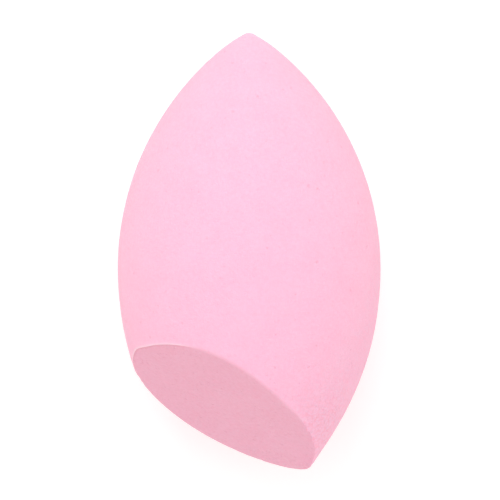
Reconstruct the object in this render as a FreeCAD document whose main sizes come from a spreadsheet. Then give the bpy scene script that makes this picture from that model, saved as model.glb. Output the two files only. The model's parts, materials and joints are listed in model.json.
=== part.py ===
"""Slant-cut makeup sponge: one lemon-shaped piece of moulded foam with a flat face sliced off its tail.

Frame, in millimetres: the sponge lies on its side on the plane Z = 0, with its long axis along Y and its
pointed tip towards +Y. The origin is the middle of the small flat that the foam settles onto, right under
the girth, the widest circle of the sponge.
"""

import FreeCAD
import Part
import Sketcher

import math
import os

PARTS_FOLDER = "parts"
NODE = "foam_body"

# Fineness, in millimetres, of the facets that the printed box is measured on, and of the search for the rim
PRINT_TOLERANCE = 0.01
IN_PLANE_TOLERANCE = 1e-4

# Points of a sketch curve, and the two axes of a sketch, as the sketcher numbers them
START, END, CENTRE = range(1, 4)
H_AXIS, V_AXIS = range(-1, -3, -1)
ORIGIN = H_AXIS

# Driving dimensions: name, value in millimetres or degrees, meaning
DIMENSIONS = [
    ("girth_diameter", 40.0, "widest circle of the sponge"),
    ("tip_height", 36.0, "girth to the pointed tip, along the axis"),
    ("tip_radius", 1.2, "rounding of the pointed tip"),
    ("shoulder_radius", 22.0, "tighter arc that blunts the outline just before the tip"),
    ("shoulder_turn", 11.5, "turn of the shoulder's arc, in degrees"),
    ("tail_height", 38.0, "girth to the tail as moulded, before it is sliced off"),
    ("tail_radius", 2.0, "rounding of the tail as moulded"),
    ("cut_height", 24.2, "girth to the slanted cut, along the axis"),
    ("cut_slant", 35.4, "tilt of the cut, in degrees, from square to the axis"),
    ("cut_heading", 46.3, "roll of the cut, in degrees, from straight up towards -X"),
    ("rim_radius", 0.4, "rounding of the edge round the cut face"),
    ("settle_depth", 0.5, "how far the foam flattens where it lies"),
]


def make_sheet(doc):
    """The driving dimensions, one row each, with the name as the value cell's alias."""
    sheet = doc.addObject("Spreadsheet::Sheet", "sheet")
    for row, (name, value, meaning) in enumerate(DIMENSIONS, start=1):
        sheet.set(f"A{row}", name)
        sheet.set(f"B{row}", str(value))
        sheet.set(f"C{row}", meaning)
        sheet.setAlias(f"B{row}", name)
    doc.recompute()
    return sheet


def origin_plane(body, role):
    return next(plane for plane in body.Origin.OriginFeatures if plane.Role == role)


def new_sketch(body, name, role):
    sketch = body.newObject("Sketcher::SketchObject", name)
    sketch.AttachmentSupport = [(origin_plane(body, role), "")]
    sketch.MapMode = "FlatFace"
    return sketch


def add_dimension(sketch, name, constraint, expression):
    """A named constraint whose value follows the sheet."""
    index = sketch.addConstraint(constraint)
    sketch.renameConstraint(index, name)
    sketch.setExpression(f"Constraints.{name}", expression)


def arc(centre_x, centre_y, radius, start_angle, end_angle):
    circle = Part.Circle(FreeCAD.Vector(centre_x, centre_y, 0), FreeCAD.Vector(0, 0, 1), radius)
    return Part.ArcOfCircle(circle, start_angle, end_angle)


def flank_arc(girth_radius, end_height, end_radius, shoulder_radius, shoulder_turn):
    """Radius of the flank, an arc square to the girth, and the angle at which the shoulder takes over.

    The shoulder turns by shoulder_turn and is tangent to the flank and to the rounded end on the axis. With
    no turn and the end's own radius there is no shoulder, and the flank is tangent to the end itself.
    """
    end_centre = end_height - end_radius
    reach = shoulder_radius - end_radius
    out = girth_radius - shoulder_radius + reach * math.cos(shoulder_turn)
    up = end_centre + reach * math.sin(shoulder_turn)
    joint = 2 * math.atan2(out, up)
    radius = shoulder_radius + (end_centre - reach * math.sin(joint + shoulder_turn)) / math.sin(joint)
    return radius, joint


def add_profile(body, sheet):
    """Half outline of the moulded lemon: tail, lower flank, upper flank, shoulder, tip and the axis.

    The sketch's vertical axis is the sponge's axis, and its horizontal axis lies in the girth.
    """
    girth_radius = sheet.girth_diameter / 2
    turn = math.radians(sheet.shoulder_turn)
    upper_radius, shoulder_joint = flank_arc(
        girth_radius, sheet.tip_height, sheet.tip_radius, sheet.shoulder_radius, turn
    )
    lower_radius, tail_joint = flank_arc(
        girth_radius, sheet.tail_height, sheet.tail_radius, sheet.tail_radius, 0
    )
    tip_joint = shoulder_joint + turn
    tip_centre = sheet.tip_height - sheet.tip_radius
    tail_centre = sheet.tail_height - sheet.tail_radius
    reach = sheet.shoulder_radius - sheet.tip_radius
    shoulder_out = -reach * math.cos(tip_joint)
    shoulder_up = tip_centre - reach * math.sin(tip_joint)

    sketch = new_sketch(body, "outline", "XY_Plane")
    tail = sketch.addGeometry(arc(0, -tail_centre, sheet.tail_radius, -math.pi / 2, -tail_joint))
    lower = sketch.addGeometry(arc(girth_radius - lower_radius, 0, lower_radius, -tail_joint, 0))
    upper = sketch.addGeometry(arc(girth_radius - upper_radius, 0, upper_radius, 0, shoulder_joint))
    shoulder = sketch.addGeometry(
        arc(shoulder_out, shoulder_up, sheet.shoulder_radius, shoulder_joint, tip_joint)
    )
    tip = sketch.addGeometry(arc(0, tip_centre, sheet.tip_radius, tip_joint, math.pi / 2))
    top = FreeCAD.Vector(0, sheet.tip_height, 0)
    bottom = FreeCAD.Vector(0, -sheet.tail_height, 0)
    axis = sketch.addGeometry(Part.LineSegment(top, bottom))

    sketch.addConstraint(
        [
            Sketcher.Constraint("Tangent", tail, END, lower, START),
            Sketcher.Constraint("Tangent", lower, END, upper, START),
            Sketcher.Constraint("Tangent", upper, END, shoulder, START),
            Sketcher.Constraint("Tangent", shoulder, END, tip, START),
            Sketcher.Constraint("Coincident", tip, END, axis, START),
            Sketcher.Constraint("Coincident", axis, END, tail, START),
            Sketcher.Constraint("PointOnObject", tip, CENTRE, V_AXIS),
            Sketcher.Constraint("PointOnObject", tip, END, V_AXIS),
            Sketcher.Constraint("PointOnObject", tail, CENTRE, V_AXIS),
            Sketcher.Constraint("PointOnObject", tail, START, V_AXIS),
            Sketcher.Constraint("PointOnObject", upper, CENTRE, H_AXIS),
            Sketcher.Constraint("PointOnObject", upper, START, H_AXIS),
        ]
    )
    girth = Sketcher.Constraint("DistanceX", ORIGIN, START, upper, START, girth_radius)
    tip_reach = Sketcher.Constraint("DistanceY", ORIGIN, START, tip, END, sheet.tip_height)
    tail_reach = Sketcher.Constraint("DistanceY", tail, START, ORIGIN, START, sheet.tail_height)
    tip_rounding = Sketcher.Constraint("Radius", tip, sheet.tip_radius)
    shoulder_rounding = Sketcher.Constraint("Radius", shoulder, sheet.shoulder_radius)
    shoulder_bend = Sketcher.Constraint("Angle", shoulder, turn)
    tail_rounding = Sketcher.Constraint("Radius", tail, sheet.tail_radius)
    add_dimension(sketch, "girth_radius", girth, "sheet.girth_diameter / 2")
    add_dimension(sketch, "tip_height", tip_reach, "sheet.tip_height")
    add_dimension(sketch, "tail_height", tail_reach, "sheet.tail_height")
    add_dimension(sketch, "tip_radius", tip_rounding, "sheet.tip_radius")
    add_dimension(sketch, "shoulder_radius", shoulder_rounding, "sheet.shoulder_radius")
    add_dimension(sketch, "shoulder_turn", shoulder_bend, "sheet.shoulder_turn * 1 deg")
    add_dimension(sketch, "tail_radius", tail_rounding, "sheet.tail_radius")
    return sketch


def add_moulding(body, sheet):
    """The whole lemon as it leaves the mould: the half outline turned about the axis."""
    sketch = add_profile(body, sheet)
    moulding = body.newObject("PartDesign::Revolution", "moulding")
    moulding.Profile = sketch
    moulding.ReferenceAxis = (sketch, ["V_Axis"])
    moulding.Angle = 360
    return moulding


def add_trim(body, sheet, name, middle, angle, heading):
    """Slices the foam along a straight line and takes away what lies to the left of that line.

    The sketch holds the sponge's axis, as its horizontal axis, and is rolled about it by heading. The line
    passes through middle at angle. These three are pairs of a value and the expression that it follows.
    """
    (along, along_expression), (across, across_expression) = middle
    angle_value, angle_expression = angle
    half_length = sheet.girth_diameter
    depth = sheet.tail_height
    turn = math.radians(angle_value)
    direction = FreeCAD.Vector(math.cos(turn), math.sin(turn), 0)
    leftwards = FreeCAD.Vector(-math.sin(turn), math.cos(turn), 0)
    centre = FreeCAD.Vector(along, across, 0)
    corners = [
        centre - direction * half_length,
        centre + direction * half_length,
        centre + direction * half_length + leftwards * depth,
        centre - direction * half_length + leftwards * depth,
    ]

    sketch = new_sketch(body, f"{name}_line", "YZ_Plane")
    roll_axis = FreeCAD.Vector(1, 0, 0)
    sketch.AttachmentOffset = FreeCAD.Placement(FreeCAD.Vector(), FreeCAD.Rotation(roll_axis, heading[0]))
    sketch.setExpression("AttachmentOffset.Rotation.Angle", heading[1])

    sides = [
        sketch.addGeometry(Part.LineSegment(corners[i], corners[(i + 1) % len(corners)]))
        for i in range(len(corners))
    ]
    pivot = sketch.addGeometry(Part.Point(centre), True)
    blade, end_side, _, start_side = sides
    for i, side in enumerate(sides):
        sketch.addConstraint(Sketcher.Constraint("Coincident", side, END, sides[(i + 1) % len(sides)], START))
    sketch.addConstraint(
        [
            Sketcher.Constraint("Perpendicular", blade, end_side),
            Sketcher.Constraint("Perpendicular", blade, start_side),
            Sketcher.Constraint("Parallel", blade, sides[2]),
            Sketcher.Constraint("Symmetric", blade, START, blade, END, pivot, START),
        ]
    )
    place_along = Sketcher.Constraint("DistanceX", ORIGIN, START, pivot, START, along)
    place_across = Sketcher.Constraint("DistanceY", ORIGIN, START, pivot, START, across)
    blade_angle = Sketcher.Constraint("Angle", blade, turn)
    blade_length = Sketcher.Constraint("Distance", blade, 2 * half_length)
    block_depth = Sketcher.Constraint("Distance", end_side, depth)
    add_dimension(sketch, "along", place_along, along_expression)
    add_dimension(sketch, "across", place_across, across_expression)
    add_dimension(sketch, "angle", blade_angle, angle_expression)
    add_dimension(sketch, "length", blade_length, "2 * sheet.girth_diameter")
    add_dimension(sketch, "depth", block_depth, "sheet.tail_height")

    trim = body.newObject("PartDesign::Pocket", name)
    trim.Profile = sketch
    trim.SideType = "Symmetric"
    trim.Type = "ThroughAll"
    return trim


def add_settled_flat(body, sheet):
    """The small flat under the girth where soft foam settles under its own weight."""
    axis_height = sheet.girth_diameter / 2 - sheet.settle_depth
    middle = (0.0, "0 mm"), (-axis_height, "-(sheet.girth_diameter / 2 - sheet.settle_depth)")
    return add_trim(body, sheet, "settled_flat", middle, (180.0, "180 deg"), (0.0, "0 deg"))


def add_slanted_cut(body, sheet):
    """The flat working face, sliced off the tail at a slant."""
    middle = (-sheet.cut_height, "-sheet.cut_height"), (0.0, "0 mm")
    angle = 90 - sheet.cut_slant, "90 deg - sheet.cut_slant * 1 deg"
    heading = -sheet.cut_heading, "-sheet.cut_heading * 1 deg"
    return add_trim(body, sheet, "slanted_cut", middle, angle, heading)


def cut_plane(sheet):
    """A point of the slanted cut and its outward normal, in the body's own axes."""
    slant = math.radians(sheet.cut_slant)
    heading = math.radians(sheet.cut_heading)
    lean = math.sin(slant)
    normal = FreeCAD.Vector(-lean * math.sin(heading), -math.cos(slant), lean * math.cos(heading))
    return FreeCAD.Vector(0, -sheet.cut_height, 0), normal


def rim_edges(shape, sheet):
    """Names of the edges that lie in the slanted cut."""
    point, normal = cut_plane(sheet)

    def lies_in_cut(edge):
        if edge.Degenerated:
            return False
        samples = edge.discretize(Number=9)
        return all(abs((sample - point).dot(normal)) < IN_PLANE_TOLERANCE for sample in samples)

    return [f"Edge{i}" for i, edge in enumerate(shape.Edges, start=1) if lies_in_cut(edge)]


def add_rim(body, sheet, cut):
    """The soft rounded edge round the cut face."""
    rim = body.newObject("PartDesign::Fillet", "rim")
    rim.Base = (cut, rim_edges(cut.Shape, sheet))
    rim.setExpression("Radius", "sheet.rim_radius")
    return rim


def make_foam_body(doc, sheet):
    """The sponge itself: moulded, settled where it lies, sliced and rounded at the rim."""
    body = doc.addObject("PartDesign::Body", NODE)
    body.Label = NODE
    body.setExpression("Placement.Base.z", "sheet.girth_diameter / 2 - sheet.settle_depth")
    volumes = []
    moulding = add_moulding(body, sheet)
    doc.recompute()
    volumes.append(moulding.Shape.Volume)
    flat = add_settled_flat(body, sheet)
    doc.recompute()
    volumes.append(flat.Shape.Volume)
    cut = add_slanted_cut(body, sheet)
    doc.recompute()
    volumes.append(cut.Shape.Volume)
    rim = add_rim(body, sheet, cut)
    doc.recompute()
    volumes.append(rim.Shape.Volume)
    if sorted(volumes, reverse=True) != volumes or len(set(volumes)) != len(volumes):
        raise RuntimeError(f"a trimming step took no foam away: {volumes}")
    return body


def check(doc, body):
    """Stops if an object failed to compute or the solid isn't sound."""
    failed = [o.Label for o in doc.Objects if {"Invalid", "Error"} & set(o.State)]
    if failed:
        raise RuntimeError(f"these objects failed: {failed}")
    shape = body.Shape
    if shape.isNull() or not shape.isValid() or len(shape.Solids) != 1:
        raise RuntimeError(f"{body.Label} isn't one valid solid")


def report(body, sheet):
    """Prints the sizes that a person would check, and where the cut face lies."""
    solid = body.Shape.Solids[0]
    corners, _ = solid.tessellate(PRINT_TOLERANCE)
    box = FreeCAD.BoundBox()
    for corner in corners:
        box.add(corner)
    _, normal = cut_plane(sheet)
    flats = [face for face in solid.Faces if isinstance(face.Surface, Part.Plane)]
    cut_face = min(flats, key=lambda face: (face.normalAt(0, 0) - normal).Length)
    centre = cut_face.CenterOfMass
    print(f"box {box.XLength:.2f} x {box.YLength:.2f} x {box.ZLength:.2f} mm, from Z = {box.ZMin:.4f}")
    print(f"volume {solid.Volume / 1000:.2f} cm3, centre of mass {[round(c, 3) for c in solid.CenterOfMass]}")
    print(f"cut face: area {cut_face.Area:.1f} mm2, centre {[round(c, 4) for c in centre]}")
    print(f"cut face: outward normal {[round(c, 6) for c in cut_face.normalAt(0, 0)]}")


def main():
    doc = FreeCAD.newDocument("makeup_sponge")
    sheet = make_sheet(doc)
    body = make_foam_body(doc, sheet)
    check(doc, body)
    report(body, sheet)
    os.makedirs(PARTS_FOLDER, exist_ok=True)
    body.Shape.Solids[0].exportStep(os.path.join(PARTS_FOLDER, f"{body.Label}.step"))


main()
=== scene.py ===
"""Makeup sponge: the soft foam body with its slanted cut, its finishes, and the plain stage."""

import json
import math

import bpy
import numpy as np
from bpy.props import FloatProperty, FloatVectorProperty, IntProperty, PointerProperty
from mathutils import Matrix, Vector


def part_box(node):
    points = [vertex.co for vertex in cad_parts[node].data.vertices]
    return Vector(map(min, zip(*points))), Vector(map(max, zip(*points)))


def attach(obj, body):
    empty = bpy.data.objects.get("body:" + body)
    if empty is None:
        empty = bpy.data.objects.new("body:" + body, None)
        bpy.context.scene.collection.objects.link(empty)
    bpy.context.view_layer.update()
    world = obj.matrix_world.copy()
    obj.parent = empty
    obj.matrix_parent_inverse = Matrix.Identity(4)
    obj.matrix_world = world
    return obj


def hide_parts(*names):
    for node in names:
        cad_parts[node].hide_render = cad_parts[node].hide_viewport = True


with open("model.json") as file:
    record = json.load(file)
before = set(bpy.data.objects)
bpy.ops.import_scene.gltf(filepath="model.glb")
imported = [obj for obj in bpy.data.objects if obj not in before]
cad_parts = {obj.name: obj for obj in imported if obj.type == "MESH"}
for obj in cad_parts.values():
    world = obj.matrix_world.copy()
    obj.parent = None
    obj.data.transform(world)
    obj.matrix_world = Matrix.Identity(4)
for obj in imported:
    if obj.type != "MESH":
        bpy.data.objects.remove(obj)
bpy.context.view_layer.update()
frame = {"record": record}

bl_info = {
    "name": "Makeup sponge",
    "version": (1, 0, 0),
    "blender": (4, 5, 0),
    "location": "View3D > Sidebar > Makeup sponge",
    "description": "A slant-cut makeup sponge of soft foam, lying on a plain stage",
    "category": "Object",
}

PIECE = "foam_sponge"
NODE = "foam_body"
BODY = "root"
MILLIMETRE = 0.001
WHITE = (1, 1, 1, 1)

# The frame: the foam's own box, and the plane of its slanted cut
FOAM_LOW, FOAM_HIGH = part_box(NODE)
FOAM_WIDTH = FOAM_HIGH.x - FOAM_LOW.x
CUT_MOUNT = next(mount for mount in frame["record"]["mounts"] if mount["name"] == "cut_face")
CUT_CENTRE = np.array(CUT_MOUNT["pos_m"])
CUT_NORMAL = np.array(CUT_MOUNT["axis"]) / np.linalg.norm(CUT_MOUNT["axis"])
TIPWARDS = np.array([0.0, 1.0, 0.0])

# What the mesh tells its materials, point by point
# Where the rim carries a painted line along its upper part: a painted highlight on the skin and painted
# shade on the cut
PAINTED_LINE_ATTRIBUTE = "painted rim line"
BLEND_ATTRIBUTE = "rim blend"
WORN_ATTRIBUTE = "worn"

# How the sliced face leaves its plane, in millimetres at the cut's reach: a bow, and waves round the cut
# (cosine, sine), of which wave 0 lifts the face and wave 1 tilts it
CUT_BOW = 0.045
CUT_WAVES = {
    0: (0.025, 0),
    1: (0.02, -0.02),
    2: (-0.055, 0.132),
    3: (0.087, 0.075),
    4: (0.055, 0.029),
}

# Where the rim of the cut is drawn out or torn back, in millimetres: height, radius, uphill, across
CUT_LIPS = (
    (0.66, 6, -15.9, -5),
    (0.5, 3, -15, -6.5),
    (0.2, 3, -10, -11.5),
    (-0.14, 1.6, -2.6, -14),
    (-0.22, 2.2, 14.6, 6.4),
)

# Unevenness as random waves: how many, and the shortest and the longest of them
FRAY_WAVES = (24, 0.7 * MILLIMETRE, 1.2 * MILLIMETRE)
LUMP_WAVES = (24, 9 * MILLIMETRE, 24 * MILLIMETRE)
GRAIN_WAVES = (60, 0.9 * MILLIMETRE, 2 * MILLIMETRE)

# How strongly the grid's rows crowd towards the rim, and how often the search for the rim is halved
ROW_CROWDING = 0.35
HALVINGS = 48

# Pits: smallest radius and its spread, in distances between the points, and depth, in heights of a cell
PORE_RADII = (0.15, 0.17)
OPEN_CELL_RADII = (0.28, 0.2)
PIT_DEPTH = 2.0

# The slow and the quick change of tone, the part of the noise that is used, and where a worn bead gives way
# to the gap beside it, which is sunk and takes painted shade
MOTTLE_NOISE = {"Scale": 210.0, "Detail": 2.0, "Roughness": 0.5}
SPECKLE_NOISE = {"Scale": 1900.0, "Detail": 2.0, "Roughness": 0.6}
NOISE_RANGE = (0.3, 0.7)
BEAD_EDGE = (0.45, 0.85)

# What the moulded skin and the sliced face each have of their own, and the sockets of the group they share
# One of these values is a painted line along the rim's upper part: a painted highlight on the skin and
# painted shade on the cut
PART_VALUES = ("colour", "blush", "edge", "open", "depth", "mottle", "speckle", "grain")
CELL_INPUTS = (
    "Cells per metre",
    "Pores per metre",
    "Pore share",
    "Open cells per metre",
    "Open cell share",
    "Open cell depth",
)
CELL_OUTPUTS = ("Height", "Pores", "Gaps", "Mottle", "Speckle")


def size(name, description, default):
    """A length that a user would change."""
    return FloatProperty(name=name, description=description, default=default, unit="LENGTH", precision=5)


def amount(name, description, default):
    """A plain number that a user would change."""
    return FloatProperty(name=name, description=description, default=default, precision=4)


def fraction(name, description, default):
    """A number from 0 to 1 that a user would change."""
    return FloatProperty(
        name=name, description=description, default=default, subtype="FACTOR", min=0, max=1, precision=4
    )


def angle(name, description, degrees):
    """An angle that a user would change, given in degrees."""
    return FloatProperty(name=name, description=description, default=math.radians(degrees), subtype="ANGLE")


def count(name, description, default):
    """A whole number that a user would change."""
    return IntProperty(name=name, description=description, default=default, min=1)


def colour(name, description, default):
    """A colour that a user would change."""
    return FloatVectorProperty(
        name=name, description=description, default=default, subtype="COLOR", size=3, min=0, max=1
    )


def point(name, description, millimetres):
    """A point or a move in the sponge's frame that a user would change, given in millimetres."""
    default = [value * MILLIMETRE for value in millimetres]
    return FloatVectorProperty(
        name=name, description=description, default=default, subtype="TRANSLATION", unit="LENGTH", size=3
    )


class SpongeShape(bpy.types.PropertyGroup):
    """Sizes of the foam, with the outer ones taken from the solid."""

    # The moulded outline and how it lies
    girth_diameter: size("Girth", "Widest circle of the sponge", FOAM_WIDTH)
    tip_height: size("Tip height", "Girth to the pointed tip, along the axis", FOAM_HIGH.y)
    tip_radius: size("Tip radius", "Rounding of the pointed tip", 1.2 * MILLIMETRE)
    shoulder_radius: size("Shoulder radius", "Tighter arc that blunts the tip", 22 * MILLIMETRE)
    shoulder_turn: angle("Shoulder turn", "Turn of the shoulder's arc", 11.5)
    tail_height: size("Tail height", "Girth to the tail as moulded, before the cut", 38 * MILLIMETRE)
    tail_radius: size("Tail radius", "Rounding of the tail as moulded", 2 * MILLIMETRE)
    axis_height: size("Axis height", "Table to the axis", FOAM_HIGH.z - FOAM_WIDTH / 2)
    settle_softness: size("Settle softness", "Rounding where the foam leaves the table", 0.1 * MILLIMETRE)

    # The cut and its rim
    cut_reach: size("Cut reach", "Radius of the cut at which its sway is given", 15 * MILLIMETRE)
    crisp_reach: size("Crisp rim", "Reach of the rounding where the rim is crisp", 0.22 * MILLIMETRE)
    soft_reach: size("Soft rim", "Reach of the rounding where the rim is soft", 0.45 * MILLIMETRE)
    soft_heading: angle("Soft heading", "Middle of the soft rim, round the cut from uphill", -82)
    soft_spread: angle("Soft spread", "How far the soft part runs to each side", 52)
    soft_end: angle("Soft end", "Where the rim is crisp again, to each side", 71)
    blend_width: size("Rim blend width", "Width of the blended colours at a soft rim", 0.3 * MILLIMETRE)
    # The painted line along the rim: a painted highlight on the skin and painted shade on the cut, on the
    # rim's upper part towards the tip
    line_width: size("Line width", "Width of the line along the rim", 0.27 * MILLIMETRE)
    painted_line_heading: angle("Line heading", "Middle of that line, round the cut from uphill", 10)
    painted_line_spread: angle("Line spread", "How far the line runs to each side", 21)
    painted_line_end: angle("Line end", "Where the line has faded, to each side", 40)

    # The worn corner
    worn_middle: point("Worn middle", "Middle of the worn patch beside the cut", (10.1, -24.8, 27.4))
    worn_radius: size("Worn radius", "Radius of the worn patch", 7.5 * MILLIMETRE)
    fray_height: size("Fray", "Raggedness of the rim where the skin is worn", 0.25 * MILLIMETRE)
    corner_middle: point("Corner middle", "Low corner of the cut", (9.3, -30.2, 19.7))
    corner_pull: point("Corner pull", "Way the low corner is pulled", (0.16, -0.05, 0))
    corner_radius: size("Corner radius", "Reach of that pull", 2 * MILLIMETRE)

    # The unevenness of the foam
    lump_height: size("Lump height", "Height of the wide soft unevenness", 0.015 * MILLIMETRE)
    grain_height: size("Grain height", "Height of the fine grain", 0.008 * MILLIMETRE)
    dimples: count("Dimples", "Number of small burst bubbles", 150)
    dimple_radius: size("Dimple radius", "Radius of the largest dimple", 0.6 * MILLIMETRE)
    dimple_depth: size("Dimple depth", "Depth of the largest dimple", 0.1 * MILLIMETRE)
    smallest_dimple: fraction("Smallest dimple", "Smallest dimple as a share of the largest", 0.5)
    seed: IntProperty(name="Seed", description="Seed of every random draw", default=7)

    # The grid
    columns: count("Columns", "Grid columns round the axis", 400)
    side_rows: count("Side rows", "Grid rows from the tip to the rim", 176)
    rim_rows: count("Rim rows", "Grid rows round the rim, an odd number", 7)
    face_rows: count("Face rows", "Grid rows from the rim to the middle of the cut", 46)


class FoamFinish(bpy.types.PropertyGroup):
    """Colours and grain of the foam: the moulded skin, the sliced face, and what both share."""

    # The moulded skin
    skin_colour: colour("Skin", "Moulded outside of the foam", (0.995, 0.568, 0.742))
    skin_blush: colour("Skin blush", "Deeper mottling of the moulded outside", (0.98, 0.479, 0.639))
    # Painted highlight: a paler line along the rim's upper part, where the rim faces the light
    skin_edge: colour("Skin edge", "Stretched skin along the rim", (0.995, 0.71, 0.81))
    skin_open: fraction("Skin open", "Share of the cells that stand open in the skin", 0.06)
    skin_depth: fraction("Skin depth", "Depth of the skin's open cells", 0.5)
    skin_mottle: fraction("Skin mottle", "Slow change of tone in the skin", 0.2)
    skin_speckle: fraction("Skin speckle", "Quick change of tone in the skin", 0.38)
    skin_grain: fraction("Skin grain", "Strength of the skin's relief", 0.4)

    # The sliced face
    cut_colour: colour("Cut", "Sliced face, where the cells are open", (0.893, 0.482, 0.624))
    cut_blush: colour("Cut blush", "Deeper mottling of the sliced face", (0.863, 0.421, 0.558))
    # Painted shade: a darker line just inside the rim's upper part, below the skin's edge
    cut_edge: colour("Cut edge", "Line just inside the rim", (0.79, 0.37, 0.48))
    cut_open: fraction("Cut open", "Share of the cells that stand open in the sliced face", 0.5)
    cut_depth: fraction("Cut depth", "Depth of the sliced face's open cells", 0.7)
    cut_mottle: fraction("Cut mottle", "Slow change of tone in the sliced face", 0.3)
    cut_speckle: fraction("Cut speckle", "Quick change of tone in the sliced face", 0.65)
    cut_grain: fraction("Cut grain", "Strength of the sliced face's relief", 0.6)

    # The rim: its blend, and the strength of the painted highlight and painted shade along it
    blend_colour: colour("Rim blend", "Between skin and cut, along a soft rim", (0.94, 0.51, 0.655))
    painted_line_strength: fraction("Edge strength", "Strength of the line along the rim", 0.8)

    # Cells and pores
    cell_size: size("Cell size", "Width of one foam cell", 0.24 * MILLIMETRE)
    open_spacing: size("Open cell spacing", "Distance between cells that may stand open", 0.62 * MILLIMETRE)
    pore_spacing: size("Pore spacing", "Distance between the places for pores", 1.25 * MILLIMETRE)
    pore_share: fraction("Pore share", "Share of those places that hold a pore", 0.16)
    pore_colour: colour("Pores", "Shaded inside of a pore", (0.72, 0.27, 0.385))
    pore_shade: fraction("Pore shade", "Strength of the shade in pores and open cells", 0.3)
    blush_share: fraction("Blush share", "Mean share of the blush in the mottling", 0.32)
    relief_height: size("Relief height", "Height of one cell at full grain", 0.1 * MILLIMETRE)

    # The worn skin
    # Painted shade in the gaps between the beads of the worn skin
    gap_colour: colour("Gaps", "Between the beads of the worn skin", (0.97, 0.35, 0.46))
    worn_shade: fraction("Worn shade", "Strength of the shade in those gaps", 0.42)
    worn_open: fraction("Worn open", "Further share of open cells where the skin is worn", 0.25)
    worn_depth: fraction("Worn depth", "Further depth of open cells where the skin is worn", 0.5)
    worn_speckle: fraction("Worn speckle", "Further speckle where the skin is worn", 0.4)
    worn_fade: fraction("Worn fade", "How much less blush there is where the skin is worn", 0.05)
    worn_grain: fraction("Worn grain", "Further relief of the cells where the skin is worn", 0.5)
    worn_relief: amount("Worn relief", "Height of the beads, in heights of a cell", 2.0)

    # How the foam takes the light
    roughness: fraction("Roughness", "Mean roughness of the foam", 0.9)
    roughness_swing: fraction("Roughness swing", "How far the roughness follows the mottle", 0.08)
    refraction: amount("Refraction", "Index of refraction of the foam", 1.4)
    gloss: fraction("Gloss", "Level of the foam's faint gloss", 0.2)
    scatter_share: fraction("Scatter share", "Share of the light that wanders in the foam", 0.3)
    scatter_depth: size("Scatter depth", "How deep the light wanders", 1.2 * MILLIMETRE)
    scatter_colour: colour("Scatter colour", "How deep red, green and blue wander", (1.0, 0.55, 0.65))


class StageLook(bpy.types.PropertyGroup):
    """Camera, lights and floor."""

    camera_distance: size("Camera distance", "Camera to the sponge's axis", 607 * MILLIMETRE)
    frame_width: size("Frame width", "Width of the picture at the sponge's axis", 76.11 * MILLIMETRE)
    look_across: size("Look across", "Middle of the picture, towards +X", 0.127 * MILLIMETRE)
    look_along: size("Look along", "Middle of the picture, towards the tip", 2.9 * MILLIMETRE)
    zenith_colour: colour("Zenith", "Light from straight above", (0.95, 0.955, 1.0))
    horizon_colour: colour("Horizon", "Light from the sides", (0.965, 0.838, 0.742))
    dome_strength: amount("Dome strength", "Level of the light from all round", 1.04)
    key_colour: colour("Key", "Light of the soft box", (1.0, 0.975, 0.925))
    key_power: FloatProperty(
        name="Key power", description="Power of the soft box", default=3.0, unit="POWER"
    )
    key_size: size("Key size", "Side of the soft box", 600 * MILLIMETRE)
    key_place: point("Key place", "Where the soft box hangs", (-120, 760, 780))
    floor_colour: colour("Floor", "Plain pale floor", (0.86, 0.845, 0.82))
    floor_lift: fraction("Floor lift", "White added to the floor as it is seen", 0.29)
    floor_size: size("Floor size", "Side of the floor", 4000 * MILLIMETRE)


def flank_arc(girth_radius, end_height, end_radius, shoulder_radius, shoulder_turn):
    """Radius of the flank, an arc square to the girth, and the angle at which the shoulder takes over.

    With h the height of the rounded end's centre, r its radius, s and d the shoulder's radius and turn,
    and e = s - r, the angle is 2 atan((g - s + e cos d) / (h + e sin d)) for the girth's radius g, and the
    flank's radius is s + (h - e sin(angle + d)) / sin(angle).
    """
    end_centre = end_height - end_radius
    reach = shoulder_radius - end_radius
    out = girth_radius - shoulder_radius + reach * math.cos(shoulder_turn)
    up = end_centre + reach * math.sin(shoulder_turn)
    joint = 2 * math.atan2(out, up)
    return shoulder_radius + (end_centre - reach * math.sin(joint + shoulder_turn)) / math.sin(joint), joint


def outline(shape, length):
    """Distance from the axis and height above the girth, at a length along the outline from the tip.

    The outline is four tangent arcs. An arc of radius R and centre c is c + R (cos a, sin a), and the
    angle a falls by length / R along it: the tip's arc from a quarter turn, the shoulder's arc, the upper
    flank's arc down to the girth, and the lower flank's arc on from the girth.
    """
    girth_radius = shape.girth_diameter / 2
    turn = shape.shoulder_turn
    upper, joint = flank_arc(girth_radius, shape.tip_height, shape.tip_radius, shape.shoulder_radius, turn)
    lower, _ = flank_arc(girth_radius, shape.tail_height, shape.tail_radius, shape.tail_radius, 0)
    tip_centre = shape.tip_height - shape.tip_radius
    reach = shape.shoulder_radius - shape.tip_radius
    shoulder_out = -reach * math.cos(joint + turn)
    shoulder_up = tip_centre - reach * math.sin(joint + turn)
    tip_end = shape.tip_radius * (math.pi / 2 - joint - turn)
    shoulder_end = tip_end + shape.shoulder_radius * turn
    girth_at = shoulder_end + upper * joint
    on_arc = [length < tip_end, length < shoulder_end, length < girth_at]
    radius = np.select(on_arc, [shape.tip_radius, shape.shoulder_radius, upper], lower)
    centre_out = np.select(on_arc, [0.0, shoulder_out, girth_radius - upper], girth_radius - lower)
    centre_up = np.select(on_arc, [tip_centre, shoulder_up, 0.0], 0.0)
    first_angle = np.select(on_arc, [math.pi / 2, joint + turn, joint], 0.0)
    first_length = np.select(on_arc, [0.0, tip_end, shoulder_end], girth_at)
    turned = first_angle - (length - first_length) / radius
    return centre_out + radius * np.cos(turned), centre_up + radius * np.sin(turned)


def side_point(shape, around, length):
    """The moulded side: the outline (r, y) turned by the angle a about the axis, which lies over the table.

    A point is (r sin a, y, axis height + r cos a).
    """
    out, up = outline(shape, length)
    across = out * np.sin(around)
    height = out * np.cos(around) + shape.axis_height
    return np.stack([across, up + 0 * around, height], axis=-1)


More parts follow.
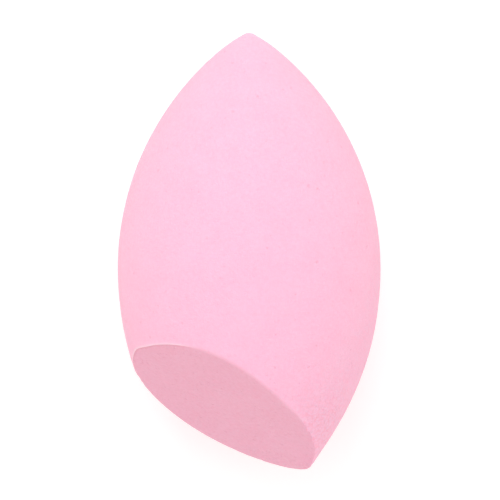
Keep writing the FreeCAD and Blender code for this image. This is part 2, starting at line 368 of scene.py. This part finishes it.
def cut_directions():
    """Two directions in the plane of the cut: uphill, towards the tip, and across."""
    uphill = TIPWARDS - CUT_NORMAL * TIPWARDS.dot(CUT_NORMAL)
    uphill /= np.linalg.norm(uphill)
    return uphill, np.cross(CUT_NORMAL, uphill)


def cut_height(shape, uphill, across):
    """How far the sliced face stands off its plane.

    At the distance d, in cut reaches, and the angle a round the middle of the cut it is bow d^2, plus the
    sum of d^k (cosine cos(k a) + sine sin(k a)) over the waves, plus height exp(-(e / radius)^2) at the
    distance e from the middle of each lip.
    """
    in_plane = (uphill + 1j * across) / shape.cut_reach
    sway = CUT_BOW * np.abs(in_plane) ** 2
    for k, (cosine, sine) in CUT_WAVES.items():
        sway = sway + (complex(cosine, -sine) * in_plane**k).real
    for height, radius, lip_uphill, lip_across in CUT_LIPS:
        from_lip = np.hypot(uphill / MILLIMETRE - lip_uphill, across / MILLIMETRE - lip_across)
        sway = sway + height * np.exp(-((from_lip / radius) ** 2))
    return sway * MILLIMETRE


def cut_point(shape, uphill, across):
    """The sliced face: its plane, from the middle of the cut, plus its height off that plane."""
    along, sideways = cut_directions()
    height = cut_height(shape, uphill, across)
    plane = CUT_CENTRE + np.multiply.outer(uphill, along) + np.multiply.outer(across, sideways)
    return plane + np.multiply.outer(height, CUT_NORMAL)


def rim_length(shape, around):
    """Length along the outline at which each column of the side meets the sliced face.

    It is found by halving, between the tip and a length that is past every rim.
    """
    along, sideways = cut_directions()
    past = shape.tip_height + shape.tail_height + shape.girth_diameter / 4
    low = np.zeros_like(around)
    high = np.full_like(around, past)
    for _ in range(HALVINGS):
        middle = (low + high) / 2
        offset = side_point(shape, around, middle) - CUT_CENTRE
        beyond = offset @ CUT_NORMAL > cut_height(shape, offset @ along, offset @ sideways)
        high = np.where(beyond, middle, high)
        low = np.where(beyond, low, middle)
    return (low + high) / 2


def bell(points, middle, radius):
    """A strength that fades with distance: exp(-(d / radius)^2) at the distance d from the middle."""
    distance = np.linalg.norm(points - np.array(middle), axis=-1)
    return np.exp(-((distance / radius) ** 2))


def worn_strength(shape, points):
    """Strength of the worn patch beside the cut, a bell about its middle."""
    return bell(points, shape.worn_middle, shape.worn_radius)


def random_waves(points, random, waves, shortest, longest):
    """Smooth unevenness of about unit height, as a sum of random plane waves.

    For n waves with the headings h, lengths w and phases f, it is at the point p the sum of
    cos(2 pi h . p / w + f), divided by the square root of n.
    """
    heading = random.normal(size=(waves, 3))
    heading /= np.linalg.norm(heading, axis=1, keepdims=True)
    wavelength = random.uniform(shortest, longest, size=(waves, 1))
    phase = random.uniform(0, 2 * math.pi, size=waves)
    swing = np.cos(points @ (heading * (2 * math.pi / wavelength)).T + phase)
    return swing.sum(axis=-1) / math.sqrt(waves)


def frayed_rim(shape, around, random):
    """Length along the outline at which each column ends, with a ragged rim where the skin is worn.

    To the true length it adds the fray's height times random waves times the worn strength squared.
    """
    length = rim_length(shape, around)
    corner = side_point(shape, around, length)
    ragged = random_waves(corner, random, *FRAY_WAVES)
    return length + shape.fray_height * ragged * worn_strength(shape, corner) ** 2


def graded(rows, crowding):
    """Steps from 0 to 1, t + crowding t (1 - t) for even t: above 0 it crowds them at 1, below 0 at 0."""
    t = np.linspace(0, 1, rows)
    return t + crowding * t * (1 - t)


def rim_part(heading, middle, spread, end):
    """A part of the rim: 1 within the spread of its middle, falling as t t (3 - 2 t) to 0 at its end."""
    away = np.abs(np.angle(np.exp(1j * (heading - middle))))
    t = np.clip((end - away) / (end - spread), 0, 1)
    return t * t * (3 - 2 * t)


def sponge_rings(shape, random):
    """The whole skin as rings of points, from the tip to the middle of the cut, with two strengths.

    Side rows follow the outline to just short of the rim, rim rows are a Bezier arc
    (1-t)(1-t) A + 2t(1-t) C + t t B round the corner C, and face rows run straight to the middle of the
    cut. The line, a painted highlight on the skin and painted shade on the cut, is a bell about C times
    the line's part of the rim, its upper part towards the tip. The blend is a bell about the middle
    of the arc times the soft part of the rim, and it fades where the skin is worn.
    """
    along, sideways = cut_directions()
    around = np.arange(shape.columns) * (2 * math.pi / shape.columns)
    corner_at = frayed_rim(shape, around, random)
    corner = side_point(shape, around, corner_at)
    uphill = (corner - CUT_CENTRE) @ along
    across = (corner - CUT_CENTRE) @ sideways
    heading = np.arctan2(across, uphill)
    # The part of the rim that takes the painted line: painted highlight on the skin, painted shade on the
    # cut
    lined = rim_part(heading, shape.painted_line_heading, shape.painted_line_spread, shape.painted_line_end)
    soft = rim_part(heading, shape.soft_heading, shape.soft_spread, shape.soft_end)
    rounding = shape.crisp_reach + (shape.soft_reach - shape.crisp_reach) * soft

    side_length = graded(shape.side_rows, ROW_CROWDING)[:, None] * (corner_at - rounding)
    side = side_point(shape, np.broadcast_to(around, side_length.shape), side_length)

    face_share = 1 - rounding / np.hypot(uphill, across)
    outwards = (1 - graded(shape.face_rows, -ROW_CROWDING)[:, None]) * face_share
    face = cut_point(shape, outwards * uphill, outwards * across)

    t = np.linspace(0, 1, shape.rim_rows + 2)[1:-1, None, None]
    rim = (1 - t) ** 2 * side[-1] + 2 * t * (1 - t) * corner + t**2 * face[0]
    middle = rim[shape.rim_rows // 2]

    rings = np.concatenate([side, rim, face])
    line = bell(rings, corner, shape.line_width) * lined
    blend = bell(rings, middle, shape.blend_width) * soft * (1 - worn_strength(shape, corner))
    return rings, line, blend


def first_cut_ring(shape):
    """The ring halfway round the rim, where the moulded skin ends and the sliced face begins."""
    return shape.side_rows + shape.rim_rows // 2


def ring_normals(rings):
    """Unit normals of a grid of rings, from the cross product of its two differences."""
    step_around = np.roll(rings, -1, axis=1) - np.roll(rings, 1, axis=1)
    step_along = np.gradient(rings, axis=0)
    normal = np.cross(step_along, step_around)
    normal[0] = TIPWARDS
    normal[-1] = CUT_NORMAL
    return normal / np.linalg.norm(normal, axis=-1, keepdims=True)


def dimple_depths(shape, points, random):
    """Depth of the burst bubbles: each is depth exp(-(d / radius)^2) at the distance d from its middle.

    Each has a random share of the largest depth and radius, and where two meet the deeper one holds.
    """
    flat = points.reshape(-1, 3)
    middle = flat[random.integers(0, len(flat), size=shape.dimples)]
    share = random.uniform(shape.smallest_dimple, 1.0, size=shape.dimples)
    squared = (flat**2).sum(1)[:, None] - 2 * flat @ middle.T + (middle**2).sum(1)
    bowl = share * np.exp(-squared / (share * shape.dimple_radius) ** 2)
    return shape.dimple_depth * bowl.max(axis=1).reshape(points.shape[:-1])


def pulled(shape, rings):
    """The rings with the low corner of the cut pulled out: the pull times a bell about the corner."""
    strength = bell(rings, shape.corner_middle, shape.corner_radius)
    return rings + np.array(shape.corner_pull) * strength[..., None]


def settle(shape, rings):
    """Flattens the foam where it lies: the height z becomes (z + sqrt(z z + s s)) / 2, with softness s."""
    z = rings[..., 2]
    rings[..., 2] = (z + np.sqrt(z * z + shape.settle_softness**2)) / 2
    return rings


def foam_surface(shape):
    """The finished skin as rings, and the strengths of its line of painted highlight and painted shade, its
    blend and its worn patch.

    Lumps, grain and dimples move the points along their normals, the low corner of the cut is pulled out,
    and the foam settles on the table.
    """
    random = np.random.default_rng(shape.seed)
    rings, line, blend = sponge_rings(shape, random)
    worn = worn_strength(shape, rings)
    worn[first_cut_ring(shape) + 1:] = 0
    height = shape.lump_height * random_waves(rings, random, *LUMP_WAVES)
    height += shape.grain_height * random_waves(rings, random, *GRAIN_WAVES)
    height -= dimple_depths(shape, rings, random) * (1 - line - blend)
    height[0] = height[0].mean()
    height[-1] = height[-1].mean()
    rings = pulled(shape, rings + ring_normals(rings) * height[..., None])
    return settle(shape, rings), line, blend, worn


def pole_to_pole(values):
    """One value for each point of a closed mesh: the first pole, the rings between, the last pole."""
    tail = values.shape[2:]
    return np.concatenate([values[:1, 0], values[1:-1].reshape(-1, *tail), values[-1:, 0]])


def closed_mesh(name, rings):
    """A closed mesh through rings of points whose first and last rings are single points, the poles.

    A quad joins each step of a ring to the next ring, and a fan of triangles closes each pole.
    """
    rows, columns, _ = rings.shape
    points = pole_to_pole(rings)
    start = 1 + np.arange(columns)
    following = np.roll(start, -1)
    offset = np.arange(rows - 3)[:, None] * columns
    here = start + offset
    onward = following + offset
    quads = np.stack([here + columns, onward + columns, onward, here], -1).reshape(-1, 4)
    tip_fan = np.stack([np.zeros(columns, int), start, following], -1)
    last_ring = (rows - 3) * columns
    face_fan = np.stack([np.full(columns, len(points) - 1), following + last_ring, start + last_ring], -1)
    mesh = bpy.data.meshes.new(name)
    mesh.from_pydata(points, [], tip_fan.tolist() + quads.tolist() + face_fan.tolist())
    mesh.shade_smooth()
    return mesh


def add_strength(mesh, name, strength):
    """A value from 0 to 1 on every point, for the materials to read."""
    attribute = mesh.attributes.new(name, "FLOAT", "POINT")
    attribute.data.foreach_set("value", pole_to_pole(strength))


def new_node(tree, kind, **settings):
    """A new node of a kind, with its settings."""
    node = tree.nodes.new(kind)
    for name, value in settings.items():
        setattr(node, name, value)
    return node


def set_inputs(node, **values):
    """Sets a node's inputs by name, with spaces written as underscores."""
    for name, value in values.items():
        node.inputs[name.replace("_", " ")].default_value = value
    return node


def feed(tree, value, socket):
    """Links an output to an input, or sets the input to a number or a colour."""
    if isinstance(value, bpy.types.NodeSocket):
        tree.links.new(value, socket)
    elif socket.type == "RGBA":
        socket.default_value = (*value, 1)
    else:
        socket.default_value = value


def math_node(tree, operation, *values):
    """The result of a Math node on outputs or numbers."""
    node = new_node(tree, "ShaderNodeMath", operation=operation)
    for socket, value in zip(node.inputs, values):
        feed(tree, value, socket)
    return node.outputs["Value"]


def mix_colours(tree, factor, first, second):
    """The result of a colour Mix node on outputs or colours."""
    node = new_node(tree, "ShaderNodeMix", data_type="RGBA")
    sockets = [node.inputs["Factor"], *(s for s in node.inputs if s.type == "RGBA")]
    for socket, value in zip(sockets, (factor, first, second)):
        feed(tree, value, socket)
    return next(s for s in node.outputs if s.type == "RGBA")


def strength_value(tree, name):
    """One of the strengths that the mesh holds."""
    return new_node(tree, "ShaderNodeAttribute", attribute_name=name).outputs["Fac"]


def stretched(tree, value, low, high):
    """A value from low to high spread over 0 to 1, clamped."""
    spread = set_inputs(new_node(tree, "ShaderNodeMapRange"), From_Min=low, From_Max=high)
    tree.links.new(value, spread.inputs["Value"])
    return spread.outputs["Result"]


def scattered_points(tree, given, per_metre):
    """A Voronoi node: the distance to the nearest of many random points, and a draw for that point."""
    points = new_node(tree, "ShaderNodeTexVoronoi", feature="F1")
    tree.links.new(given.outputs["Vector"], points.inputs["Vector"])
    tree.links.new(given.outputs[per_metre], points.inputs["Scale"])
    return points


def noise(tree, given, values):
    """Smooth noise through the foam."""
    texture = set_inputs(new_node(tree, "ShaderNodeTexNoise"), **values)
    tree.links.new(given.outputs["Vector"], texture.inputs["Vector"])
    return texture.outputs["Fac"]


def pit_mask(tree, points, share, smallest, spread):
    """Round pits at scattered points: 1 in the middle of a pit, falling to 0 at its radius.

    A pit stands at the share of the points that is drawn, and its radius is smallest + spread times a
    draw, in distances between the points.
    """
    draw = new_node(tree, "ShaderNodeSeparateColor")
    tree.links.new(points.outputs["Color"], draw.inputs["Color"])
    chosen = math_node(tree, "LESS_THAN", draw.outputs["Red"], share)
    radius = math_node(tree, "MULTIPLY_ADD", draw.outputs["Green"], spread, smallest)
    bowl = new_node(tree, "ShaderNodeMapRange", interpolation_type="SMOOTHSTEP")
    set_inputs(bowl, To_Min=1.0, To_Max=0.0)
    tree.links.new(points.outputs["Distance"], bowl.inputs["Value"])
    tree.links.new(radius, bowl.inputs["From Max"])
    return math_node(tree, "MULTIPLY", bowl.outputs["Result"], chosen)


def foam_cells_group():
    """Node group of the foam's structure.

    Height is the relief of the cells less the pits, Pores is the mask of the pits, which are the wide
    pores and the open cells, Gaps grows with the distance from the middle of the nearest bead of foam,
    and Mottle and Speckle are a slow and a quick change of tone.
    """
    tree = bpy.data.node_groups.new("Foam cells", "ShaderNodeTree")
    tree.interface.new_socket("Vector", in_out="INPUT", socket_type="NodeSocketVector")
    for name in CELL_INPUTS:
        tree.interface.new_socket(name, in_out="INPUT", socket_type="NodeSocketFloat")
    for name in CELL_OUTPUTS:
        tree.interface.new_socket(name, in_out="OUTPUT", socket_type="NodeSocketFloat")
    given = new_node(tree, "NodeGroupInput")
    result = new_node(tree, "NodeGroupOutput")

    cells = scattered_points(tree, given, "Cells per metre")
    pores = scattered_points(tree, given, "Pores per metre")
    beads = scattered_points(tree, given, "Open cells per metre")
    wide_pits = pit_mask(tree, pores, given.outputs["Pore share"], *PORE_RADII)
    small_pits = pit_mask(tree, beads, given.outputs["Open cell share"], *OPEN_CELL_RADII)
    small_pits = math_node(tree, "MULTIPLY", small_pits, given.outputs["Open cell depth"])
    pits = math_node(tree, "MAXIMUM", wide_pits, small_pits)
    cell_height = math_node(tree, "SUBTRACT", 1.0, cells.outputs["Distance"])
    pit_depth = math_node(tree, "MULTIPLY", pits, PIT_DEPTH)

    values = (
        math_node(tree, "SUBTRACT", cell_height, pit_depth),
        pits,
        stretched(tree, beads.outputs["Distance"], *BEAD_EDGE),
        stretched(tree, noise(tree, given, MOTTLE_NOISE), *NOISE_RANGE),
        stretched(tree, noise(tree, given, SPECKLE_NOISE), *NOISE_RANGE),
    )
    for name, value in zip(CELL_OUTPUTS, values):
        tree.links.new(value, result.inputs[name])
    return tree


def foam_colour(tree, finish, own, foam, worn, gaps):
    """Colour of the foam: its mottling, and on that the painted shade of the gaps between worn beads and of
    the pits, the rim's line of painted highlight and painted shade, and its blend.

    The share of the blush is its mean + mottle (m - 1/2) + speckle (s - 1/2) for the slow and quick tones
    m and s. Where the skin is worn, there is more speckle and less blush.
    """
    swing = math_node(tree, "MULTIPLY_ADD", worn, finish.worn_speckle, own["speckle"])
    centred = math_node(tree, "SUBTRACT", foam.outputs["Speckle"], 0.5)
    least = finish.blush_share - own["mottle"] / 2
    slow = math_node(tree, "MULTIPLY_ADD", foam.outputs["Mottle"], own["mottle"], least)
    faded = math_node(tree, "MULTIPLY_ADD", worn, -finish.worn_fade, slow)
    tone = math_node(tree, "MULTIPLY_ADD", centred, swing, faded)
    mottled = mix_colours(tree, tone, own["colour"], own["blush"])

    # Painted shade in the gaps between the worn beads, on top of their sunk relief
    gap_shade = math_node(tree, "MULTIPLY", gaps, finish.worn_shade)
    beaded = mix_colours(tree, gap_shade, mottled, finish.gap_colour)
    pit_shade = math_node(tree, "MULTIPLY", foam.outputs["Pores"], finish.pore_shade)
    pitted = mix_colours(tree, pit_shade, beaded, finish.pore_colour)
    # Painted line along the rim's upper part: a painted highlight on the skin, painted shade on the cut
    line = math_node(tree, "MULTIPLY", strength_value(tree, PAINTED_LINE_ATTRIBUTE), finish.painted_line_strength)
    lined = mix_colours(tree, line, pitted, own["edge"])
    return mix_colours(tree, strength_value(tree, BLEND_ATTRIBUTE), lined, finish.blend_colour)


def foam_material(part, finish, cells):
    """Soft matte foam of one part, the skin or the cut: mottled pink with fine cells and open pores.

    The roughness follows the mottle. The relief is that of the cells, stronger where the skin is worn,
    less the gaps between the worn beads.
    """
    material = bpy.data.materials.new(f"{part}_foam")
    material.use_nodes = True
    tree = material.node_tree
    shader = tree.nodes["Principled BSDF"]
    own = {name: getattr(finish, f"{part}_{name}") for name in PART_VALUES}
    worn = strength_value(tree, WORN_ATTRIBUTE)

    coordinates = new_node(tree, "ShaderNodeTexCoord")
    foam = new_node(tree, "ShaderNodeGroup", node_tree=cells)
    tree.links.new(coordinates.outputs["Object"], foam.inputs["Vector"])
    set_inputs(foam, Cells_per_metre=1 / finish.cell_size, Pores_per_metre=1 / finish.pore_spacing)
    set_inputs(foam, Pore_share=finish.pore_share, Open_cells_per_metre=1 / finish.open_spacing)
    opened = math_node(tree, "MULTIPLY_ADD", worn, finish.worn_open, own["open"])
    tree.links.new(opened, foam.inputs["Open cell share"])
    depth = math_node(tree, "MULTIPLY_ADD", worn, finish.worn_depth, own["depth"])
    tree.links.new(depth, foam.inputs["Open cell depth"])
    gaps = math_node(tree, "MULTIPLY", foam.outputs["Gaps"], worn)

    foam_pink = foam_colour(tree, finish, own, foam, worn, gaps)
    tree.links.new(foam_pink, shader.inputs["Base Color"])

    roughness = new_node(tree, "ShaderNodeMapRange")
    smoothest = finish.roughness - finish.roughness_swing
    roughest = finish.roughness + finish.roughness_swing
    set_inputs(roughness, To_Min=smoothest, To_Max=roughest)
    tree.links.new(foam.outputs["Mottle"], roughness.inputs["Value"])
    tree.links.new(roughness.outputs["Result"], shader.inputs["Roughness"])

    relief = math_node(tree, "MULTIPLY_ADD", worn, finish.worn_grain, 1.0)
    sunk = math_node(tree, "MULTIPLY", gaps, -finish.worn_relief)
    height = math_node(tree, "MULTIPLY_ADD", foam.outputs["Height"], relief, sunk)
    bump = new_node(tree, "ShaderNodeBump")
    set_inputs(bump, Strength=own["grain"], Distance=finish.relief_height)
    tree.links.new(height, bump.inputs["Height"])
    tree.links.new(bump.outputs["Normal"], shader.inputs["Normal"])
    set_inputs(
        shader,
        IOR=finish.refraction,
        Specular_IOR_Level=finish.gloss,
        Subsurface_Weight=finish.scatter_share,
        Subsurface_Radius=finish.scatter_colour,
        Subsurface_Scale=finish.scatter_depth,
    )
    return material


class SPONGE_OT_add_foam_body(bpy.types.Operator):
    """Models the sponge: moulded side, rounded rim and sliced face, in two finishes"""

    bl_idname = "sponge.add_foam_body"
    bl_label = "Add foam body"

    def execute(self, context):
        shape = context.scene.sponge_shape
        finish = context.scene.sponge_finish
        rings, line, blend, worn = foam_surface(shape)
        mesh = closed_mesh(PIECE, rings)
        add_strength(mesh, PAINTED_LINE_ATTRIBUTE, line)
        add_strength(mesh, BLEND_ATTRIBUTE, blend)
        add_strength(mesh, WORN_ATTRIBUTE, worn)

        cells = foam_cells_group()
        mesh.materials.append(foam_material("skin", finish, cells))
        mesh.materials.append(foam_material("cut", finish, cells))
        slots = np.zeros(len(mesh.polygons), int)
        slots[first_cut_ring(shape) * shape.columns:] = 1
        mesh.polygons.foreach_set("material_index", slots)

        sponge = bpy.data.objects.new(PIECE, mesh)
        context.scene.collection.objects.link(sponge)
        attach(sponge, BODY)
        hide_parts(NODE)
        return {"FINISHED"}


def seen_ray(tree):
    """1 where the camera, a reflection or a refraction looks, and 0 where light is gathered."""
    path = new_node(tree, "ShaderNodeLightPath")
    seen = math_node(tree, "MAXIMUM", path.outputs["Is Camera Ray"], path.outputs["Is Glossy Ray"])
    return math_node(tree, "MAXIMUM", seen, path.outputs["Is Transmission Ray"])


def light_dome(scene, look):
    """Light from all round, cooler from above and warmer from the sides, on a white background."""
    world = bpy.data.worlds.new("light_dome")
    world.use_nodes = True
    tree = world.node_tree
    tree.nodes.clear()
    coordinates = new_node(tree, "ShaderNodeTexCoord")
    split = new_node(tree, "ShaderNodeSeparateXYZ")
    tree.links.new(coordinates.outputs["Generated"], split.inputs["Vector"])
    sky = mix_colours(tree, split.outputs["Z"], look.horizon_colour, look.zenith_colour)
    light = set_inputs(new_node(tree, "ShaderNodeBackground"), Strength=look.dome_strength)
    tree.links.new(sky, light.inputs["Color"])
    white = set_inputs(new_node(tree, "ShaderNodeBackground"), Color=WHITE, Strength=1.0)
    choose = new_node(tree, "ShaderNodeMixShader")
    tree.links.new(seen_ray(tree), choose.inputs["Fac"])
    tree.links.new(light.outputs["Background"], choose.inputs[1])
    tree.links.new(white.outputs["Background"], choose.inputs[2])
    output = new_node(tree, "ShaderNodeOutputWorld")
    tree.links.new(choose.outputs["Shader"], output.inputs["Surface"])
    scene.world = world


def floor_material(look):
    """Matt white floor that keeps shadows, lifted to the background's white where it is seen."""
    material = bpy.data.materials.new("pale_floor")
    material.use_nodes = True
    tree = material.node_tree
    shader = tree.nodes["Principled BSDF"]
    set_inputs(shader, Base_Color=(*look.floor_colour, 1), Roughness=1.0, Specular_IOR_Level=0.0)
    set_inputs(shader, Emission_Color=WHITE)
    lift = math_node(tree, "MULTIPLY", seen_ray(tree), look.floor_lift)
    tree.links.new(lift, shader.inputs["Emission Strength"])
    return material


def add_floor(scene, look):
    """Wide flat floor that the sponge lies on."""
    half = look.floor_size / 2
    corners = [(-half, -half, 0), (half, -half, 0), (half, half, 0), (-half, half, 0)]
    mesh = bpy.data.meshes.new("floor")
    mesh.from_pydata(corners, [], [(0, 1, 2, 3)])
    mesh.materials.append(floor_material(look))
    floor = bpy.data.objects.new("floor", mesh)
    scene.collection.objects.link(floor)


def add_key(scene, look):
    """One large soft box above the tip end, towards the upper left of the picture."""
    lamp = bpy.data.lights.new("soft_box", "AREA")
    lamp.size = look.key_size
    lamp.energy = look.key_power
    lamp.color = look.key_colour
    key = bpy.data.objects.new("soft_box", lamp)
    key.location = look.key_place
    key.rotation_euler = (Vector() - key.location).to_track_quat("-Z", "Y").to_euler()
    scene.collection.objects.link(key)


def add_camera(scene, look, shape):
    """Camera straight above the sponge, with the tip towards the top of the picture."""
    data = bpy.data.cameras.new("camera")
    data.lens = data.sensor_width * look.camera_distance / look.frame_width
    camera = bpy.data.objects.new("camera", data)
    camera.location = (look.look_across, look.look_along, shape.axis_height + look.camera_distance)
    scene.collection.objects.link(camera)
    scene.camera = camera


class SPONGE_OT_set_stage(bpy.types.Operator):
    """Sets the camera, the soft light and the pale floor"""

    bl_idname = "sponge.set_stage"
    bl_label = "Set stage"

    def execute(self, context):
        scene = context.scene
        look = scene.sponge_stage
        light_dome(scene, look)
        add_floor(scene, look)
        add_key(scene, look)
        add_camera(scene, look, scene.sponge_shape)
        scene.view_settings.view_transform = "Standard"
        return {"FINISHED"}


class SPONGE_PT_sidebar(bpy.types.Panel):
    """Lists the sponge's pieces, sizes and finishes"""

    bl_idname = "SPONGE_PT_sidebar"
    bl_label = "Makeup sponge"
    bl_space_type = "VIEW_3D"
    bl_region_type = "UI"
    bl_category = "Makeup sponge"

    def draw(self, context):
        scene = context.scene
        for operator, groups in (
            (SPONGE_OT_add_foam_body, (scene.sponge_shape, scene.sponge_finish)),
            (SPONGE_OT_set_stage, (scene.sponge_stage,)),
        ):
            self.layout.operator(operator.bl_idname)
            for group in groups:
                for name in group.__annotations__:
                    self.layout.prop(group, name)


CLASSES = (
    SpongeShape,
    FoamFinish,
    StageLook,
    SPONGE_OT_add_foam_body,
    SPONGE_OT_set_stage,
    SPONGE_PT_sidebar,
)


def register():
    """Makes the classes and the scene's values known."""
    for cls in CLASSES:
        bpy.utils.register_class(cls)
    bpy.types.Scene.sponge_shape = PointerProperty(type=SpongeShape)
    bpy.types.Scene.sponge_finish = PointerProperty(type=FoamFinish)
    bpy.types.Scene.sponge_stage = PointerProperty(type=StageLook)


def unregister():
    """Takes back what register did."""
    del bpy.types.Scene.sponge_stage
    del bpy.types.Scene.sponge_finish
    del bpy.types.Scene.sponge_shape
    for cls in reversed(CLASSES):
        bpy.utils.unregister_class(cls)


def main():
    """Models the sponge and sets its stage."""
    register()
    bpy.ops.sponge.add_foam_body()
    bpy.ops.sponge.set_stage()


if __name__ == "__main__":
    main()
